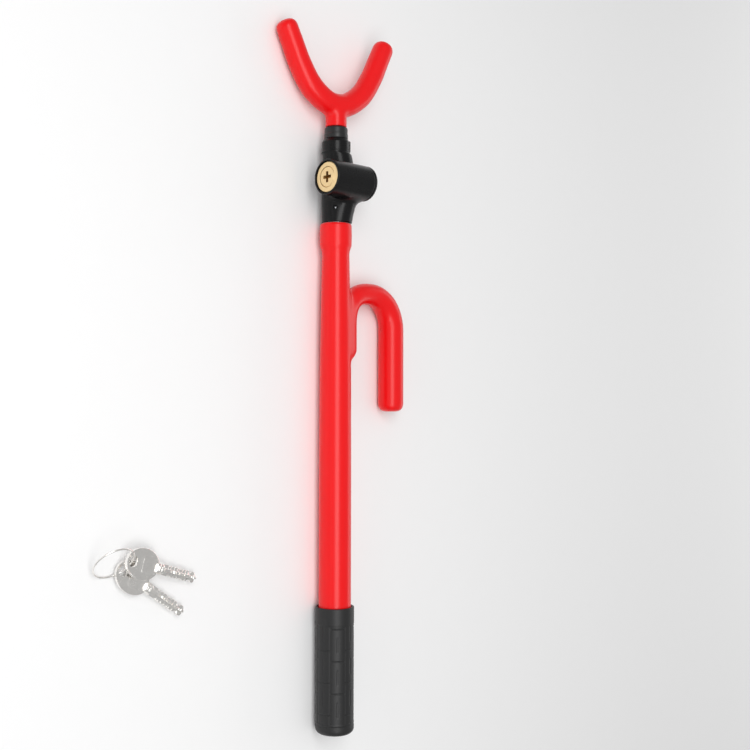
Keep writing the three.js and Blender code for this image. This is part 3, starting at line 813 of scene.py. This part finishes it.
def makeHead(given):
    # rough solids melted onto the field, then bored for the sleeve, rod, bush, lock and pin
    low, high = given["ends"]
    front, rear = given["housing"]
    body = turnedPiece("bodySeed", [(0.01, low + 0.2), (11.0, low + 0.2), (11.0, 430), (10.4, 437),
                                    (10.4, high - 1), (8, high - 0.2), (0.01, high - 0.2)], sides=48)
    bulge = turnedPiece("bulgeSeed", [(0.01, low + 1), (10.8, low + 1), (11, 398), (11, 430), (0.01, 432)],
                        place=(1.8, 0, 1.8), sides=48)
    housing = turnedPiece("housingSeed", [
        (0.01, front + 0.2), (13.1, front + 0.2), (13.1, rear - 0.2), (0.01, rear - 0.2)],
        around="x", place=barrelAt, sides=64)
    ribLow, ribHigh, _, ribReach = given["rib"]
    rib = turnedPiece("ribSeed", [(0.01, ribLow), (1.0, ribLow), (1.0, ribHigh), (0.01, ribHigh)],
                      place=((ribReach - 1.2) / math.sqrt(2), 0, (ribReach - 1.2) / math.sqrt(2)), sides=12)
    field = headField(given)
    made = meltedPiece("castHead", field, [body, bulge, housing, rib], given["voxel"])
    bores = turnedPiece("bores", [
        (0.01, low - 4), (given["sleeveBore"], low - 4), (given["sleeveBore"], given["sleeveTop"]),
        (given["rodBore"], given["sleeveTop"]), (given["rodBore"], given["bushBottom"]),
        (given["bushBore"], given["bushBottom"]), (given["bushBore"], high + 4), (0.01, high + 4)], sides=64)
    face = turnedPiece("face", [
        (0.01, front - 4), (given["faceBore"], front - 4), (given["faceBore"], given["faceDepth"]),
        (4.4, given["faceDepth"]), (4.4, given["faceDepth"] + 1), (given["chamber"], given["faceDepth"] + 1),
        (given["chamber"], rear + 4), (0.01, rear + 4)], around="x", place=barrelAt, sides=96)
    pin = turnedPiece("pinHole", [
        (0.01, 7.5), (given["pinRadius"], 7.5), (given["pinRadius"], 20), (0.01, 20)],
        place=(0, given["pinHeight"], 0), sides=24, turn=slantedTurn())
    cutAway(made, [bores, face, pin])
    sharpen(made, 38)
    fieldNormals(made, field)
    return made


finishPiece(makeHead(headCast), "frame", "black_paint", "head_casting")
print("cast head made")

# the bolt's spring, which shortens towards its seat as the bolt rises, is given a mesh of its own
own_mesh(frame["nodes"]["bolt_spring"])

# turned pieces of the head

rearCapPiece = {"profile": [(0, 12.6), (9.2, 12.6), (9.2, 14.6), (13.4, 14.6), (13.4, 16.4),
                            (11.7, 18.2), (0, 18.2)], "soft": [0, 0.2, 0.2, 0.4, 1.2, 1.2, 0]}
cap = turnedPiece("rearCap", softCorners(rearCapPiece["profile"], rearCapPiece["soft"]),
                  around="x", place=barrelAt, sides=128)
sharpen(cap, 40)
finishPiece(cap, "frame", "black_paint", "rear_cap")

neckCollar = {
    "profile": [(6.8, 432), (8.1, 432), (8.1, 450.8), (9.1, 450.8), (9.1, 454.2), (8.85, 454.5),
                (8.85, 458.6), (8.2, 459.5), (6.8, 459.5),
                (6.8, 455.7), (8.0, 455.7), (8.0, 453.2), (6.8, 453.2), (6.8, 432)],
    "soft": 0.35,
}
collar = turnedPiece("neckCollar", softCorners(neckCollar["profile"], neckCollar["soft"])[:-1],
                     sides=128, loop=True)
sharpen(collar, 40)
finishPiece(collar, "frame", "black_plastic", "neck_bush")

brassBody = {
    "profile": [(7.8, -23.4), (11.0, -23.4), (11.6, -22.8), (11.6, -10.2), (7.8, -10.2), (7.8, -23.4)],
    "soft": 0.3,
}
barrel = turnedPiece("brassBody", softCorners(brassBody["profile"], brassBody["soft"])[:-1],
                     around="x", place=barrelAt, sides=128, loop=True)
sharpen(barrel, 30)
finishPiece(barrel, "frame", "brass", "lock_barrel")

brassPlug = {
    "profile": [(0, -23.4), (7.2, -23.4), (7.5, -23.1), (7.5, -10.1), (5.9, -10.1), (5.9, -8.9),
                (6.6, -8.9), (6.6, -8.5), (0, -8.5)],
    "keyway": 4.1,
    "slot": 1.2,
    "depth": -12.6,
}


def crossOutline(half, slot, perCorner):
    # twelve corners of a plus, each made soft by softCorners over the closed outline
    quarter = np.array([(half, -slot), (half, slot), (slot, slot)])
    turns = [np.array([[math.cos(k * math.pi / 2), -math.sin(k * math.pi / 2)],
                       [math.sin(k * math.pi / 2), math.cos(k * math.pi / 2)]]) for k in range(4)]
    corners = np.vstack([quarter @ t.T for t in turns])
    start = (corners[-1] + corners[0]) / 2
    closed = np.vstack([start, corners, start])
    return softCorners(closed, 0.35, perCorner)[:-1]


def makePlug(given):
    # a turned profile with a plus-shaped keyway cut in from its face
    made = turnedPiece("brassPlug", given["profile"], around="x", place=barrelAt, sides=96)
    outline = crossOutline(given["keyway"], given["slot"], 3)
    xs = np.array([-26.0, given["depth"]])
    grid = np.stack([
        np.broadcast_to(xs[:, None], (2, len(outline))),
        np.broadcast_to(outline[:, 0], (2, len(outline))) + barrelAt[1],
        np.broadcast_to(outline[:, 1], (2, len(outline))) + barrelAt[2]], -1)
    cutAway(made, [gridSurface("keyway", toRow(grid * mm))])
    sharpen(made, 25)
    return made


finishPiece(makePlug(brassPlug), "plug", "brass", "lock_plug")

headPin = {"profile": [(0, 7.6), (1.55, 7.6), (1.55, 9.6), (0.85, 10.2), (0.6, 10.6), (0, 10.7)]}
pin = turnedPiece("headPin", softCorners(headPin["profile"], 0.3), place=(0, headCast["pinHeight"], 0),
                  sides=32, turn=slantedTurn())
finishPiece(pin, "frame", "steel", "head_pin")
print("head fittings made")

# plated rod with its row of rings

rodPiece = {
    "radius": 6.5,
    "bottom": 120.5,
    "shoulder": 128.8,
    "journal": 4.5,
    "clipGroove": (122.0, 123.6, 3.9),
    "firstRoot": 352.0,
    "pitch": 10.3,
    "roots": 21,
    "rootRadius": 4.95,
    "halfNotch": 2.0,
    "top": 470.5,
    "perBead": 14,
}


def makeRod(given):
    # between two notches the radius follows half an ellipse near each end and is flat between
    low, high, groove = given["clipGroove"]
    outline = [(0.01, given["bottom"]), (given["journal"] - 0.4, given["bottom"]),
               (given["journal"], given["bottom"] + 0.4), (given["journal"], low), (groove, low),
               (groove, high), (given["journal"], high), (given["journal"], given["shoulder"]),
               (given["radius"] - 0.3, given["shoulder"]), (given["radius"], given["shoulder"] + 0.3)]
    roots = given["firstRoot"] - given["pitch"] * np.arange(given["roots"])[::-1]
    offset = np.linspace(-1, 1, given["perBead"] + 1)
    drop = (given["radius"] - given["rootRadius"]) * (1 - np.sqrt(1 - (1 - np.abs(offset)) ** 2 * 0.999))
    notchR = given["radius"] - drop
    for root in roots:
        outline += list(zip(notchR, root + offset * given["halfNotch"] * 1.35))
    outline += [(given["radius"], given["top"]), (0.01, given["top"])]
    made = turnedPiece("platedRod", outline, sides=64)
    sharpen(made, 50)
    return made


finishPiece(makeRod(rodPiece), "rod_and_fork", "chrome", "ratchet_rod")
print("rod made")

# rubber grip

gripPiece = {
    "radius": 14.05,
    "padRise": 0.5,
    "rimRise": 0.65,
    "bore": 12.6,
    "floor": 3.5,
    "length": 95,
    "ends": (8.5, 83.0),           # where the pads start and stop
    "pitch": 24.0,
    "starts": (8.0, 16.0),         # a row line of the even columns and one of the odd columns
    "columns": 8,
    "phase": math.radians(12.2),
    "rowGroove": 0.75,
    "columnGroove": 1.3,
    "columnDepth": 0.55,           # as a part of the pads' rise
    "crown": 0.25,                 # how much a pad falls to its sides, as a part of its rise
    "fade": 1.2,                   # length over which the pads start and stop
    "buttRound": 4.2,
    "buttGroove": (7.4, 0.45, 0.4),  # height, half width, depth
    "slot": (0.5, 6.5, 0.22),      # half width, half length, depth
    "sides": 256,
    "steps": 320,
}


def smoothEdge(distance, width):
    # rises from 0 to 1 over a width and is level at both ends
    t = np.clip(distance / width, 0, 1)
    return t * t * (3 - 2 * t)


def makeGrip(given):
    # the outer radius is a base plus pads in staggered columns; each pad fades out at its edges
    low, high = given["ends"]
    pitch = given["pitch"]
    y = np.linspace(5.0, given["length"] - 1.6, given["steps"])[:, None]
    a = np.linspace(0, 2 * math.pi, given["sides"], endpoint=False)[None, :]
    column = (a - given["phase"]) / (2 * math.pi) * given["columns"]
    which = np.floor(column)
    halfAcross = math.pi * given["radius"] / given["columns"]
    across = (column - which - 0.5) * 2 * halfAcross
    shifted = (y - np.where(which % 2 == 0, given["starts"][0], given["starts"][1])) / pitch
    along = (shifted - np.floor(shifted) - 0.5) * pitch
    rows = smoothEdge(pitch / 2 - np.abs(along), given["rowGroove"])
    edge = 1 - given["columnDepth"] * (1 - smoothEdge(halfAcross - np.abs(across), given["columnGroove"]))
    crown = 1 - given["crown"] * (across / halfAcross) ** 2
    inRows = smoothEdge(y - low, given["fade"]) * smoothEdge(high - y, given["fade"])
    halfWide, halfLong, deep = given["slot"]
    slot = smoothEdge(halfWide + 0.5 - np.abs(across), 0.7) * smoothEdge(halfLong - np.abs(along), 1.5)
    pads = given["padRise"] * rows * edge * crown - deep * slot
    outer = given["radius"] + given["rimRise"] * (1 - inRows) + pads * inRows
    # a shallow groove above the butt end leaves a small lip
    grooveAt, grooveHalf, grooveDepth = given["buttGroove"]
    outer = outer - grooveDepth * np.exp(-((y - grooveAt) / grooveHalf) ** 2)
    t = np.linspace(0, math.pi / 2, 14)
    base = given["radius"] + given["rimRise"]
    turn = given["buttRound"]
    bottomR = np.concatenate([[0.01, 5.0, 9.5], base - turn + turn * np.sin(t)])
    bottomY = np.concatenate([[0.0, 0.0, 0.0], turn - turn * np.cos(t)])
    length = given["length"]
    rim = softCorners([(base, length - 1.5), (base, length), (given["bore"], length),
                       (given["bore"], given["floor"]), (0.01, given["floor"])], 0.9)
    ones = np.ones((1, given["sides"]))
    radius = np.vstack([bottomR[:, None] * ones, outer, rim[:, :1] * ones])
    height = np.vstack([bottomY[:, None] * ones, y * ones, rim[:, 1:] * ones])
    grid = np.stack([radius * np.cos(a), height, radius * np.sin(a)], -1) * mm
    made = gridSurface("rubberGrip", toRow(grid))
    sharpen(made, 60)
    return made


finishPiece(makeGrip(gripPiece), "frame", "grip_rubber", "grip")
print("grip made")

# keys and their ring

keyPiece = {
    "bowCentre": 9.0, "bowHalf": (14.2, 10.5), "thick": 2.2, "edge": 0.7,
    "hole": 3.7,
    "collar": [(0, 20.8), (3.2, 20.8), (3.9, 21.5), (3.9, 22.7), (3.3, 23.0), (3.3, 23.6), (3.9, 23.9),
               (3.9, 25.6), (3.2, 26.5), (0, 26.5)],
    "blade": (26.0, 57.5), "bladeHalf": 3.7, "fin": 0.95,
    "bandAt": 13.2,                # the raised oblong band on the bow
    "bandHalf": (3.4, 3.6),
    "bandCorner": 2.0,
    "bandWidth": 0.55,
    "bandRise": 0.3,
    "rimLine": (0.90, 0.03, 0.16),  # place from hole to rim, half width, rise
    "core": 1.3,                   # the part of the blade's section that no cut reaches
    "tip": 2.5,
    "neck": (0.81, 0.05, 0.62),    # place along the blade, half width, depth
    "cuts": (0.16, 0.72, 2.6, 0.3),  # first and last place along the blade, pitch, depth
}


def bowGrid(given):
    # a loop through the plate's thickness, from the hole over the top to the rim and back
    a = np.linspace(0, 2 * math.pi, 120, endpoint=False)
    halfX, halfY = given["bowHalf"]
    inner = np.stack([given["hole"] * np.cos(a), given["hole"] * np.sin(a)], -1)
    outer = np.stack([given["bowCentre"] + halfX * np.cos(a), halfY * np.sin(a)], -1)
    half = given["thick"] / 2
    e = given["edge"] / given["thick"]
    turn = np.linspace(0, math.pi / 2, 5)
    across = np.concatenate([0.015 * (1 - np.sin(turn)),
                             np.linspace(0.04, 0.95, 26), 1 - 0.045 * (1 - np.sin(turn))])
    lift = np.concatenate([half * np.sin(turn) * e + half * (1 - e), np.full(26, half),
                           half * (1 - e) + half * e * np.cos(turn)])
    s = np.concatenate([across, across[::-1]])
    z = np.concatenate([lift, -lift[::-1]])
    flat = inner[None] * (1 - s[:, None, None]) + outer[None] * s[:, None, None]
    height = np.broadcast_to(z[:, None], flat.shape[:2]).copy()
    # a raised frame on both faces: an oblong band round the middle of the bow
    dx = np.abs(flat[..., 0] - given["bandAt"]) - given["bandHalf"][0]
    dy = np.abs(flat[..., 1]) - given["bandHalf"][1]
    box = np.hypot(np.maximum(dx, 0), np.maximum(dy, 0)) + np.minimum(np.maximum(dx, dy), 0)
    ridge = np.exp(-((box - given["bandCorner"]) / given["bandWidth"]) ** 2) * given["bandRise"]
    lineAt, lineHalf, lineRise = given["rimLine"]
    ridge = ridge + lineRise * np.exp(-((s[:, None] - lineAt) / lineHalf) ** 2)
    face = (np.abs(z) > half * 0.99)[:, None]
    height += np.where(face, np.sign(height) * ridge, 0)
    return np.concatenate([flat, height[..., None]], -1)


def bladeGrid(given):
    # the plus section carried along X; its fins have cuts, and it narrows before a round tip
    outline = crossOutline(given["bladeHalf"], given["fin"], 4)
    size = np.linalg.norm(outline, axis=1)
    start, end = given["blade"]
    tipLong = given["tip"]
    x = np.concatenate([np.linspace(start, end - tipLong, 140),
                        end - tipLong + tipLong * np.sin(np.linspace(0.05, math.pi / 2, 10))])
    t = (x - start) / (end - start)
    neckAt, neckHalf, neckDepth = given["neck"]
    neck = 1 - neckDepth * np.exp(-((t - neckAt) / neckHalf) ** 4)
    cutsFrom, cutsTo, pitch, cutDepth = given["cuts"]
    wave = np.sin(x * 2 * math.pi / pitch + 1.2 * np.sin(x * 1.7))
    cuts = 1 - cutDepth * smoothEdge(wave + 0.3, 0.6) * (t < cutsTo) * (t > cutsFrom)
    tip = np.sqrt(np.clip(1 - (np.maximum(x - end + tipLong, 0) / tipLong) ** 2, 0.0004, 1))
    core = given["core"]
    cutSize = core + (size[None] - core) * (neck * cuts)[:, None]
    scale = np.where(size[None] > core, cutSize / size[None], 1.0)
    section = outline[None] * (scale * tip[:, None])[..., None]
    return np.concatenate([np.broadcast_to(x[:, None, None], (*section.shape[:2], 1)), section], -1)


def makeKey(name, given, place):
    # bow, collar and blade joined into one key and carried to its place
    turn = np.array(place.to_3x3()).T
    spot = np.array(place.translation)

    def placed(grid):
        return grid * mm @ turn + spot

    bow = gridSurface(name, placed(bowGrid(given)), loopRows=True)
    profile = softCorners(given["collar"], 0.25)
    a = np.linspace(0, 2 * math.pi, 48, endpoint=False)
    collar = np.stack([np.broadcast_to(profile[:, 1:], (len(profile), 48)),
                       profile[:, :1] * np.cos(a), profile[:, :1] * np.sin(a)], -1)
    parts = [bow, gridSurface("collar", placed(collar)), gridSurface("blade", placed(bladeGrid(given)))]
    bpy.ops.object.select_all(action="DESELECT")
    for part in parts:
        part.select_set(True)
    bpy.context.view_layer.objects.active = bow
    bpy.ops.object.join()
    sharpen(bow, 40)
    return bow


def keyPose(joint, node):
    # the hole is on the swing joint's line; the blade's far end gives the heading and the drop
    hole = Vector([j["pos_m"] for j in frame["joints"] if j["name"] == joint][0])
    mesh = frame["nodes"][node].data
    co = np.empty(len(mesh.vertices) * 3)
    mesh.vertices.foreach_get("co", co)
    co = co.reshape(-1, 3)
    away = np.linalg.norm(co - np.array(hole), axis=1)
    tip = co[away > away.max() - 1.2 * mm].mean(0) - np.array(hole)
    heading = math.atan2(tip[1], tip[0])
    pitch = -math.asin(tip[2] / np.linalg.norm(tip))
    turn = Matrix.Rotation(heading, 4, "Z") @ Matrix.Rotation(pitch, 4, "Y")
    return Matrix.Translation(hole) @ turn


finishPiece(makeKey("firstKey", keyPiece, keyPose("first_key_swing", "key_1")),
            "first_key", "nickel", "key_1")
finishPiece(makeKey("secondKey", keyPiece, keyPose("second_key_swing", "key_2")),
            "second_key", "nickel", "key_2")

ringPiece = {"radius": 14.0, "wire": 0.62, "tilt": math.radians(44)}


def makeRing(given):
    # a round wire carried round a tilted circle
    low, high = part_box("key_ring")
    centre = (np.array(low) + np.array(high)) / 2
    a = np.linspace(0, 2 * math.pi, 160, endpoint=False)[:, None]
    b = np.linspace(0, 2 * math.pi, 20, endpoint=False)[None, :]
    r = given["radius"] + given["wire"] * np.cos(b)
    flat = np.stack([r * np.cos(a), r * np.sin(a), given["wire"] * np.sin(b) + 0 * a], -1) * mm
    turn = np.array(Matrix.Rotation(given["tilt"], 3, "X")).T
    return gridSurface("keyRing", flat @ turn + centre, loopRows=True)


finishPiece(makeRing(ringPiece), "ring", "nickel", "key_ring")
print("keys and ring made")

# floor and light

studio = {
    "floor": (0.93, 0.93, 0.93),
    "halfFloor": 25.0,
    "floorDrop": 0.2 * mm,
    "horizon": 0.34,
    "zenith": 0.50,
    # name, place from the main axis, width, length and watts
    "lights": [
        ("mainBox", (-0.55, 0, 0.98), 0.50, 1.5, 9.0),
        ("leftFill", (-1.1, -0.1, 0.35), 0.3, 1.2, 0.8),
        ("rightFill", (1.2, 0.1, 0.35), 0.4, 1.4, 2.6),
    ],
}


def makeFloor(given):
    # one large level square
    half = given["halfFloor"]
    corners = [(-half, -half), (half, -half), (half, half), (-half, half)]
    floor = meshObject("floor", [(x, y, -given["floorDrop"]) for x, y in corners], [(0, 1, 2, 3)])
    floor.data.materials.append(surfaceMaterial("paleFloor", given["floor"], {
        "rough": (0.75, 0.85), "coarse": 3, "fine": 60, "tone": 0.02, "bump": 0.02, "specular": 0.2}))


def softLight(name, spot, aim, width, length, power):
    # a rectangular light that faces its aim, with its length along Y
    data = bpy.data.lights.new(name, "AREA")
    data.shape = "RECTANGLE"
    data.size = width
    data.size_y = length
    data.energy = power
    light = bpy.data.objects.new(name, data)
    bpy.context.scene.collection.objects.link(light)
    back = (Vector(spot) - Vector(aim)).normalized()
    along = Vector((0, 1, 0))
    side = along.cross(back).normalized()
    along = back.cross(side)
    turn = Matrix((side, along, back)).transposed().to_4x4()
    light.matrix_world = Matrix.Translation(Vector(spot)) @ turn


def makeLights(given):
    # an even white sky and three soft boxes
    world = bpy.data.worlds.new("studio")
    world.use_nodes = True
    tree = world.node_tree
    sky = tree.nodes["Background"]
    sky.inputs["Color"].default_value = (1, 1, 1, 1)
    # brighter overhead than at the horizon
    where = tree.nodes.new("ShaderNodeTexCoord")
    parts = tree.nodes.new("ShaderNodeSeparateXYZ")
    ramp = tree.nodes.new("ShaderNodeMapRange")
    ramp.inputs["To Min"].default_value = given["horizon"]
    ramp.inputs["To Max"].default_value = given["zenith"]
    tree.links.new(where.outputs["Generated"], parts.inputs["Vector"])
    tree.links.new(parts.outputs["Z"], ramp.inputs["Value"])
    tree.links.new(ramp.outputs["Result"], sky.inputs["Strength"])
    bpy.context.scene.world = world
    middle = (axisX, 0, axisZ)
    for name, (x, y, z), width, length, power in given["lights"]:
        softLight(name, (axisX + x, y, z), middle, width, length, power)


makeFloor(studio)
makeLights(studio)
bpy.context.scene.view_settings.view_transform = "Standard"
print("studio ready")
